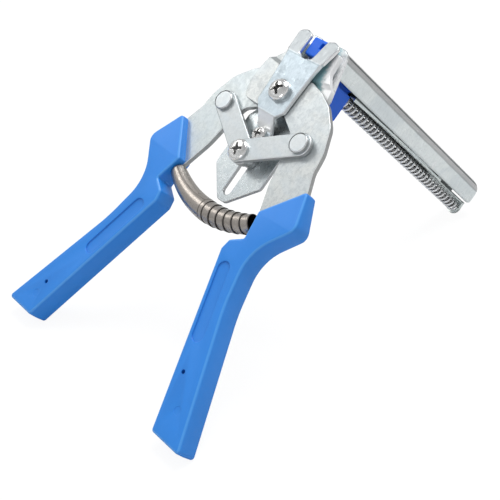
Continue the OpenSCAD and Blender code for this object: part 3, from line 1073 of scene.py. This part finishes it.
@dataclass
class Grip:
    """One moulded grip.

    Attributes:
        side: 1 for the right grip, -1 for the left.
        hole: centre of the small through hole, for the right side.
        mark: centre of the shallow ejector mark.
        thickness: size along n, in mm.
        mid: middle of the grip along n.
        fillet: edge rounding.
        belly: how far the flanks bulge.
        reach: distance of the grip's end from the pivot.
        panel: two centres of the finger panel's ends.
        panel_r: half width of the panel.
        panel_depth: depth of the panel.
        mark_r: radius of the ejector mark.
        mark_depth: depth of the ejector mark.
        hole_r: radius of the hole at the faces and inside.
        draw_way: direction in which both faces draw together, for the right side.
        draw_from: how far short of the pivot's line across that direction they begin to.
        draw_slope: how much each face falls per mm.
        RING: points in each ring of a recess or a hole, which is what stadium gives.
    """

    side: int
    hole: Point2
    mark: Point2
    thickness: float = 12.0
    mid: float = 3.25
    fillet: float = 1.2
    belly: float = 0.25
    reach: float = 157.5
    panel: Tuple[Point2, Point2] = ((34.8, -81.8), (45.0, -111.8))
    panel_r: float = 3.5
    panel_depth: float = 0.8
    mark_r: float = 2.0
    mark_depth: float = 0.12
    hole_r: Tuple[float, float] = (1.1, 1.05)
    draw_way: Point2 = (-0.4446, 0.8957)
    draw_from: float = 70.4
    draw_slope: float = 0.125
    RING = 22

    def corners(self) -> np.ndarray:
        """Clockwise corners of the grip's outline with their radii."""
        return np.array([
            (31.0, -51.8, 1.4), (48.0, -32.0, 1.8), (56.9, -50.4, 6.0), (42.0, -69.5, 22.0),
            (48.5, -95.0, 80.0), (75.2, -self.reach, 1.8), (54.2, -self.reach, 1.8), (26.0, -75.0, 3.5),
            (27.2, -69.6, 1.8), (34.2, -65.4, 1.2),
        ])

    def recess(
        self, shell: Shell, ends: Tuple[Point2, Point2], radius: float, depth: float, out: int
    ) -> range:
        """A sunk strip with a rounded lip and a rounded foot.

        The wall's offset from the strip's edge and its depth follow two quarter circles, and the floor
        is one face.

        Args:
            shell: where the patch goes.
            ends: centres of the strip's ends.
            radius: half the width.
            depth: how deep the floor lies.
            out: 1 on the front face and -1 on the back face.

        Returns:
            Point numbers of the outer lip.
        """
        face = self.mid + out * self.thickness / 2
        lip = min(0.35, depth * 0.5)
        q = np.linspace(0, np.pi / 2, 5)
        off = np.concatenate([lip * (1 - np.sin(q)), -lip * (1 - np.cos(q))])
        down = np.concatenate([lip * (1 - np.cos(q)), depth - lip + lip * np.sin(q)])
        rings = [
            np.column_stack([stadium(*ends, radius + o), np.full(self.RING, face - out * d)])
            for o, d in zip(off, down)
        ]
        # Painted shade: the wall is marked darker the deeper it goes, the floor a quarter as much.
        low = np.repeat(np.clip(down / max(depth, 0.5), 0, 1), self.RING)
        low[-self.RING:] *= 0.25
        base = shell.add(np.concatenate(rings), grid_faces(len(rings), self.RING), low=low)
        shell.polygon(base + self.RING * (len(rings) - 1) + np.arange(self.RING))
        return range(base, base + self.RING)

    def hole_ring(self, shell: Shell, radius: float, level: float, low: float) -> int:
        """Adds a ring of points round the hole, level past the grip's middle, and gives its first number."""
        ring = stadium(self.hole, self.hole, radius)
        points = np.column_stack([ring, np.full(self.RING, self.mid + level)])
        return shell.add(points, low=np.full(self.RING, low))

    def surface(self) -> Tuple[Shell, List[List[Sequence[int]]]]:
        """The grip before its faces are closed: a belt of parallel outlines with quarter-round edges.

        Returns:
            The shell, and for its front and its back the point numbers of the rim and of the holes in it.
        """
        shell = Shell()
        q = np.linspace(0, np.pi / 2, 8)
        half = self.thickness / 2
        edge_in, edge_n = self.fillet * (1 - np.sin(q)), half - self.fillet * (1 - np.cos(q))
        inset = np.concatenate([edge_in, [0.0], edge_in[::-1]])
        level = np.concatenate([edge_n, [0.0], -edge_n[::-1]])
        bulge = self.belly * np.cos(np.clip(np.abs(level) / half, 0, 1) * np.pi / 2)
        belt = [soft_outline(self.corners(), i + self.belly - b) for i, b in zip(inset, bulge)]
        cols = len(belt[0])
        rows = [np.column_stack([ring, np.full(cols, self.mid + z)]) for ring, z in zip(belt, level)]
        worn = np.clip(np.sin(np.clip(inset / self.fillet, 0, 1) * np.pi) * 1.2, 0, 1)
        shell.add(np.concatenate(rows), grid_faces(len(belt), cols), edge=np.repeat(worn, cols))
        rims = (range(cols), range(cols * (len(belt) - 1), cols * len(belt)))
        faces, mouths = [], []
        for out, rim in zip((1, -1), rims):
            mouth = self.hole_ring(shell, self.hole_r[0], out * half, 0.3)
            panel = self.recess(shell, self.panel, self.panel_r, self.panel_depth, out)
            mark = self.recess(shell, (self.mark, self.mark), self.mark_r, self.mark_depth, out)
            faces.append([rim, panel, mark, range(mouth, mouth + self.RING)])
            mouths.append(mouth)
        # The hole's inner rings are marked for full painted shade, its mouths for a little.
        inner = [self.hole_ring(shell, self.hole_r[1], out * (half - 0.4), 1.0) for out in (1, -1)]
        here = np.arange(self.RING)
        after = (here + 1) % self.RING
        chain = [mouths[0], *inner, mouths[1]]
        for one, two in zip(chain, chain[1:]):
            quads = np.stack([one + here, one + after, two + after, two + here], 1)
            shell.faces += [tuple(quad) for quad in quads.tolist()]
        return shell, faces

    def build(self, materials: Materials) -> bpy.types.Object:
        """Makes, dresses and rides the grip.

        Both faces draw together: n' = m + (n - m) * (1 - s * d / h) at a distance d past the line, with
        middle m, slope s and half thickness h. Each is then filled between its rim and its holes.
        """
        shell, faces = self.surface()
        for rows in shell.points:
            past = rows[:, :2] @ np.array(self.draw_way) + self.draw_from
            share = 1 - np.clip(past * self.draw_slope, 0, None) / (self.thickness / 2)
            rows[:, 2] = self.mid + (rows[:, 2] - self.mid) * share
            rows[:, 0] *= self.side
        points = np.concatenate(shell.points)
        for rings in faces:
            order = [i for ring in rings for i in ring]
            lines = [[Vector((*points[i, :2], 0.0)) for i in ring] for ring in rings]
            shell.faces += [tuple(order[i] for i in tri) for tri in tessellate_polygon(lines)]
        obj = shell.build("right_grip_body" if self.side > 0 else "left_grip_body", 40.0)
        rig.replaces(obj, "right_grip" if self.side > 0 else "left_grip")
        return dress(
            obj, materials[Finish.GRIP], "right_lever" if self.side > 0 else "left_lever", "grip_blue"
        )


@dataclass
class MagazineSpring:
    """The coil spring on the guide rod.

    Attributes:
        rod_y: height of the rod.
        front: n of the end behind the pusher.
        back: n of the end at the lug.
        radius: outside radius.
        wire: wire radius.
        turns: number of coils.
        travel: how far the pusher runs, in mm.
        close: pitch of the two end coils, as a share of the others'.
        per: points along each coil.
        around: points round the wire.
    """

    rod_y: float = 16.2
    front: float = -28.1
    back: float = -156.4
    radius: float = 3.35
    wire: float = 0.72
    turns: int = 35
    travel: float = 85.0
    close: float = 0.25
    per: int = 26
    around: int = 10

    def surface(self) -> Shell:
        """A round wire carried along a helix with closer end coils.

        Its centre is (R cos t, y + R sin t, n), where n falls by the pitch at t, and its ring lies in the
        plane of the tool's n and the line outwards.
        """
        mean = self.radius - self.wire
        t = np.linspace(0, 2 * np.pi * self.turns, self.per * self.turns + 1)
        lead = np.clip(t / (2 * np.pi), 0, 1)
        tail = np.clip((t[-1] - t) / (2 * np.pi), 0, 1)
        rise = np.cumsum(lead * tail * (1 - self.close) + self.close)
        rise = (rise - rise[0]) / (rise[-1] - rise[0])
        n = self.front - self.wire + (self.back - self.front + 2 * self.wire) * rise
        centre = np.stack([mean * np.cos(t), self.rod_y + mean * np.sin(t), n], 1)
        outward = np.stack([np.cos(t), np.sin(t), np.zeros_like(t)], 1)[:, None]
        a = np.linspace(0, 2 * np.pi, self.around, endpoint=False)
        c, s = np.cos(a)[None, :, None], np.sin(a)[None, :, None]
        pts = centre[:, None] + self.wire * (c * outward + s * np.array([0.0, 0.0, 1.0]))
        # Painted shade on the wire's inner side, towards the rod and the next coils; the outer side stays clean.
        low = np.broadcast_to(np.clip(0.40 - np.cos(a) * 1.6, 0, 1)[None, :], pts.shape[:2])
        shell = Shell()
        shell.add(pts.reshape(-1, 3), grid_faces(len(t), self.around), low=low.reshape(-1))
        shell.polygon(np.arange(self.around))
        shell.polygon(np.arange(self.around) + (len(t) - 1) * self.around)
        return shell

    def build(self, materials: Materials) -> bpy.types.Object:
        """Makes, dresses and rides the spring, which the pusher squashes towards the lug."""
        obj = self.surface().build("coil_spring", 60.0)
        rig.replaces(obj, "magazine_spring")
        dress(obj, materials[Finish.COIL], "frame", "spring_wire")
        length = self.front - self.back
        anchor = STANCE.spot(0, self.rod_y, self.back)
        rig.squash(obj, "pusher_slide", STANCE.turn((0, 0, 1)), anchor, (length - self.travel) / length)
        return obj


@dataclass
class BandSpring:
    """The band spring coiled in a bow between the grips.

    Attributes:
        bow: radius of the bow about the main pivot.
        mid: n of the bow's plane.
        half: half the bow's angle, in degrees.
        wall: thickness of the band.
        slant: how far a turn's edge leans along the bow, in degrees.
        slant_from: tube angle at which it leans most, in radians before the outside of the bow.
        seam: tube angle of the dark lengthwise seam of the long turn, in radians.
        turns: number of overlapping turns in the right half.
        narrowing: how much smaller each turn's radius is than the last one's.
        around: points round the tube.
    """

    bow: float = 65.0
    mid: float = 3.25
    half: float = 28.0
    wall: float = 0.45
    slant: float = 0.55
    slant_from: float = 0.6
    seam: float = 2.0
    turns: int = 6
    narrowing: float = 0.15
    around: int = 56

    def turn(
        self,
        shell: Shell,
        bow: Tuple[float, float],
        radii: Tuple[float, float],
        swell: float = 1.0,
        seam: Optional[float] = None,
    ) -> None:
        """One turn of the band: a tube along the bow, open at its ends, with rolled edges.

        A point at bow angle b and tube angle f lies at bow + r cos f from the pivot and r sin f off the
        plane; the turn's ends lean by slant * cos(f + slant_from).

        Args:
            shell: where the patch goes.
            bow: first and last bow angle from straight down, in degrees.
            radii: tube radius at the start and at the end.
            swell: power of the share of the length that the radius grows with.
            seam: tube angle of a dark lengthwise seam, in radians.
        """
        (start, stop), (r0, r1) = bow, radii
        steps = max(6, int(abs(stop - start) / 0.5))
        s = np.linspace(0, 1, steps)
        edge = 0.35 * self.wall
        outer_r = r0 + (r1 - r0) * s**swell
        rows_s = np.concatenate([s, [1.0], s[::-1], [0.0]])
        rows_r = np.concatenate([
            outer_r, [r1 - self.wall / 2], (outer_r - self.wall)[::-1], [r0 - self.wall / 2],
        ])
        bulge = np.concatenate([np.zeros(steps), [edge], np.zeros(steps), [-edge]])
        f = np.linspace(0, 2 * np.pi, self.around, endpoint=False)
        ss, ff = np.meshgrid(rows_s, f, indexing="ij")
        rr = np.repeat(rows_r[:, None], self.around, 1)
        lean = self.slant * np.cos(ff + self.slant_from)
        b = np.radians(start + (stop - start) * ss + lean) + (bulge / self.bow)[:, None]
        d = self.bow + rr * np.cos(ff)
        pts = np.stack([d * np.sin(b), -d * np.cos(b), self.mid + rr * np.sin(ff)], -1).reshape(-1, 3)
        low = np.clip(1 - np.minimum(ss, 1 - ss) * abs(stop - start) / 0.35, 0, 1) * 0.8
        if seam is not None:
            low = np.maximum(low, np.clip(1 - np.abs(ff - seam - 0.25 * ss) / 0.10, 0, 1) * 0.7)
        # The inner face and the rolled end edges are marked fully low: painted shade inside the band.
        low[steps:] = 1.0
        shell.add(pts, grid_faces(len(rows_s), self.around, True), low=low.reshape(-1))

    def spot(self, angle: float) -> Triple:
        """The bow's own point at that angle from straight down, in metres of the row frame."""
        a = math.radians(angle)
        return STANCE.spot(self.bow * math.sin(a), -self.bow * math.cos(a), self.mid)

    def build(self, materials: Materials) -> None:
        """Makes the bow in two halves, each bending between the frame and its lever."""
        step = self.half / (self.turns + 1)
        left, right = Shell(), Shell()
        self.turn(left, (-self.half - 0.6, 0.0), (3.6, 5.6), 0.55, self.seam)
        self.turn(right, (-0.3, 0.55 * step), (5.54, 5.6))
        for i in range(self.turns):
            first, less = (i + 0.25) * step + 0.1 * i, self.narrowing * i
            self.turn(right, (first, first + 1.36 * step), (5.22 - less, 5.58 - less))
        for name, shell, bodies, ends in (
            ("band_spring_left", left, ("left_lever", "frame"), (-self.half, 0.0)),
            ("band_spring_right", right, ("frame", "right_lever"), (0.0, self.half)),
        ):
            obj = shell.build(name, 45.0)
            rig.replaces(obj, "volute_spring")
            dress(obj, materials[Finish.BAND], None, "band_steel")
            spots = [self.spot(angle) for angle in ends]
            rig.blend(obj, bodies[0], bodies[1], spots[0], spots[1])


@dataclass
class SheetParts:
    """Stamped, turned and moulded parts that keep their CAD shape, with rounded edges.

    Attributes:
        parts: edge rounding in mm and finish, by node.
        weld: distance under which points become one, in metres.
        flat: neighbouring faces within this angle become one, in degrees.
        hard: edges over this angle are rounded, in degrees.
        segments: pieces across a rounding.
    """

    parts: Dict[str, Tuple[float, Finish]] = field(default_factory=lambda: {
        "front_jaw_plate": (0.5, Finish.PLATE),
        "rear_plate": (0.35, Finish.REAR),
        "magazine_channel": (0.2, Finish.CHANNEL),
        "magazine_rail": (0.15, Finish.RAIL),
        "magazine_rod": (0.1, Finish.TURNED),
        "pusher": (0.3, Finish.PUSHER),
        "pivot_bush": (0.1, Finish.TURNED),
        "pivot_nut": (0.3, Finish.NICKEL),
        "tail_spacer": (0.1, Finish.TURNED),
        "tail_nut": (0.25, Finish.NICKEL),
        "left_lever": (0.3, Finish.LEFT_LEVER),
        "right_lever": (0.3, Finish.RIGHT_LEVER),
        "left_rivet": (0.35, Finish.RIVET),
        "right_rivet": (0.35, Finish.RIVET),
        "left_link": (0.45, Finish.LINK),
        "right_link": (0.45, Finish.LINK),
        "slider_bush": (0.1, Finish.TURNED),
        "slider_washer": (0.15, Finish.TURNED),
        "link_washer": (0.08, Finish.TURNED),
        "slider_nut": (0.3, Finish.NICKEL),
    })
    weld: float = 2e-6
    flat: float = 0.6
    hard: float = 34.0
    segments: int = 3

    def refine(self, source: bpy.types.Object, node: str, width: float) -> bpy.types.Object:
        """A copy of a CAD node with its triangles merged to flat faces and its edges rounded.

        Args:
            source: the CAD node's object, which stays as it is.
            node: its name.
            width: edge rounding, in mm.

        Returns:
            The copy, which replaces the node.
        """
        mesh = source.data.copy()
        mesh.name = node + "_shape"
        bm = bmesh.new()
        bm.from_mesh(mesh)
        bmesh.ops.remove_doubles(bm, verts=bm.verts, dist=self.weld)
        bmesh.ops.dissolve_limit(bm, angle_limit=math.radians(self.flat), verts=bm.verts, edges=bm.edges)
        bm.to_mesh(mesh)
        bm.free()
        if mesh.has_custom_normals:
            mesh.attributes.remove(mesh.attributes["custom_normal"])
        mesh.materials.clear()
        obj = smoothed(node + "_shape", mesh, self.hard)
        bevel = obj.modifiers.new("edge", "BEVEL")
        bevel.width = width * MM
        bevel.segments = self.segments
        bevel.limit_method = "ANGLE"
        bevel.angle_limit = math.radians(self.hard)
        bevel.harden_normals = True
        bevel.use_clamp_overlap = False
        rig.replaces(obj, node)
        return obj

    def build(self, frame: Dict[str, dict], materials: Materials) -> None:
        """Makes, dresses and rides every part, on the body and with the slot that the record gives it."""
        record = frame["record"]
        slots = {part["node"]: part["material_slot"] for part in record["subparts"]}
        bodies = {node: body for body, nodes in record["behaviour"]["bodies"].items() for node in nodes}
        for node, (width, finish) in self.parts.items():
            obj = self.refine(frame["nodes"][node], node, width)
            dress(obj, materials[finish], bodies[node], slots[node])


@dataclass(frozen=True)
class Softbox:
    """A square lamp that faces the tool.

    Attributes:
        name: lamp name.
        place: position in metres.
        size: side, in metres.
        power: watts.
        colour: light colour.
        aim: the point it faces, in metres.
    """

    name: str
    place: Triple
    size: float
    power: float
    colour: Colour
    aim: Triple = (0.0, 0.0, 0.06)

    def build(self) -> None:
        """Hangs the lamp."""
        data = bpy.data.lights.new(self.name, "AREA")
        data.shape, data.size, data.energy, data.color = "SQUARE", self.size, self.power, self.colour
        lamp = link(self.name, data)
        lamp.location = self.place
        lamp.rotation_euler = (Vector(self.aim) - Vector(self.place)).to_track_quat("-Z", "Y").to_euler()


@dataclass
class Studio:
    """Floor, light and camera.

    Attributes:
        eye: camera position in the tool's frame, in mm.
        right: the image's right in the tool's frame.
        down: the image's downward direction.
        forward: the viewing direction.
        lens: focal length, in mm.
        sensor: sensor width, in mm.
        lamps: the lamps.
        room: the room's brightness by height, 0 underfoot and 1 overhead.
        tint: colour of the room's light.
        paper: colour of the floor under the lamps.
        floor_side: half the floor's side, in metres.
        floor_z: height of the floor, just under the tool, in metres.
        glow: brightness of the floor as the camera sees it.
        glow_share: how much of that covers the lit paper.
    """

    eye: Triple = (405.541, -62.725, 415.213)
    right: Triple = (0.606887, 0.572122, -0.551692)
    down: Triple = (0.431665, -0.820105, -0.375623)
    forward: Triple = (-0.667348, -0.010185, -0.744677)
    lens: float = 89.013
    sensor: float = 36.0
    lamps: Tuple[Softbox, ...] = (
        Softbox("key_box", (-0.95, -0.35, 0.95), 0.5, 2.2, (1.0, 0.99, 0.97)),
        Softbox("top_box", (-0.10, 0.35, 1.20), 0.6, 10.0, (0.97, 0.99, 1.0)),
        Softbox("side_box", (0.75, -1.10, 0.30), 0.4, 1.2, (1.0, 1.0, 1.0)),
    )
    room: Tuple[Point2, ...] = (
        (0.0, 0.10), (0.30, 0.22), (0.48, 0.45), (0.62, 0.72), (0.78, 0.55), (1.0, 0.40),
    )
    tint: Colour = (0.98, 1.0, 1.02)
    paper: Colour = (0.62, 0.62, 0.62)
    floor_side: float = 4.0
    floor_z: float = -0.0004
    glow: float = 1.12
    glow_share: float = 0.82

    def camera(self) -> None:
        """Stands the camera at its place."""
        data = bpy.data.cameras.new("studio_camera")
        data.sensor_width = self.sensor
        data.lens = self.lens
        data.clip_start, data.clip_end = 0.02, 20.0
        cam = link("studio_camera", data)
        x, y, z = STANCE.turn(self.right), -STANCE.turn(self.down), -STANCE.turn(self.forward)
        turn = Matrix((x, y, z)).transposed().to_quaternion().to_matrix().to_4x4()
        cam.matrix_world = Matrix.Translation(Vector(STANCE.spot(*self.eye))) @ turn
        bpy.context.scene.camera = cam

    def world(self) -> None:
        """White behind the tool, and for the light a room that darkens towards its lower half."""
        world = bpy.data.worlds.new("studio_world")
        bpy.context.scene.world = world
        g = Graph(world)
        height = g.node("ShaderNodeSeparateXYZ", {}, {0: g.node("ShaderNodeTexCoord")}, "Z")
        share = g.node("ShaderNodeMath", {"operation": "MULTIPLY_ADD"}, {0: height, 1: 0.5, 2: 0.5})
        stops = [(place, tuple(level * c for c in self.tint)) for place, level in self.room]
        light = g.node("ShaderNodeValToRGB", {"stops": stops}, {0: share})
        room = g.node("ShaderNodeBackground", {}, {0: light})
        white = g.node("ShaderNodeBackground", {}, {0: (1.0, 1.0, 1.0)})
        seen = g.node("ShaderNodeLightPath")
        g.close(g.node("ShaderNodeMixShader", {}, {0: seen, 1: room, 2: white}))

    def floor(self) -> None:
        """A plain pale floor."""
        mesh = bpy.data.meshes.new("studio_floor")
        a = self.floor_side
        mesh.from_pydata([(-a, -a, 0), (a, -a, 0), (a, a, 0), (-a, a, 0)], [], [(0, 1, 2, 3)])
        obj = link("studio_floor", mesh)
        obj.location.z = self.floor_z
        g = Graph.material("floor_paper")
        paper = g.principled(Base_Color=self.paper, Roughness=0.9)
        glow = g.node("ShaderNodeEmission", {}, {"Strength": self.glow})
        seen = g.node("ShaderNodeLightPath") * self.glow_share
        mesh.materials.append(g.close(g.node("ShaderNodeMixShader", {}, {0: seen, 1: paper, 2: glow})))
        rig.stage(obj)

    def build(self) -> None:
        """Camera, floor, world and lamps."""
        self.camera()
        self.floor()
        self.world()
        for lamp in self.lamps:
            lamp.build()
        bpy.context.scene.view_settings.view_transform = "Standard"


def main() -> None:
    """Builds the studio and every sub-assembly in order."""
    logging.basicConfig(level=logging.INFO, format="%(message)s")
    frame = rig.load()
    cad_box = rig.bounds()
    Studio().build()
    materials = {finish: finish.value.build() for finish in Finish}
    SheetParts().build(frame, materials)
    for piece in (
        PanScrew("pivot_screw_head", "pivot_screw", "frame", (0.0, 0.0), seat=8.6, head_r=5.7, head_h=3.8,
                 shank_r=3.0, tip=-6.6, twist=38.0),
        PanScrew("tail_screw_head", "tail_screw", "frame", (0.0, -21.9), seat=3.0, head_r=3.9, head_h=2.9,
                 shank_r=2.0, tip=-4.6, twist=10.0),
        PanScrew("slider_screw_head", "slider_screw", "left_link", (0.0, -33.588), seat=8.95, head_r=5.5,
                 head_h=2.4, shank_r=2.5, tip=-5.9, twist=25.0),
        Grip(side=-1, hole=(57.5, -139.4), mark=(59.0, -147.0)),
        Grip(side=1, hole=(50.4, -128.5), mark=(60.5, -143.0)),
        MagazineSpring(),
        BandSpring(),
    ):
        piece.build(materials)
    with open("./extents.json", "w") as out:
        json.dump({"cad": [list(map(float, c)) for c in cad_box], "visual": [list(map(float, c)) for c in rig.bounds()]}, out)


if __name__ == "__main__":
    main()
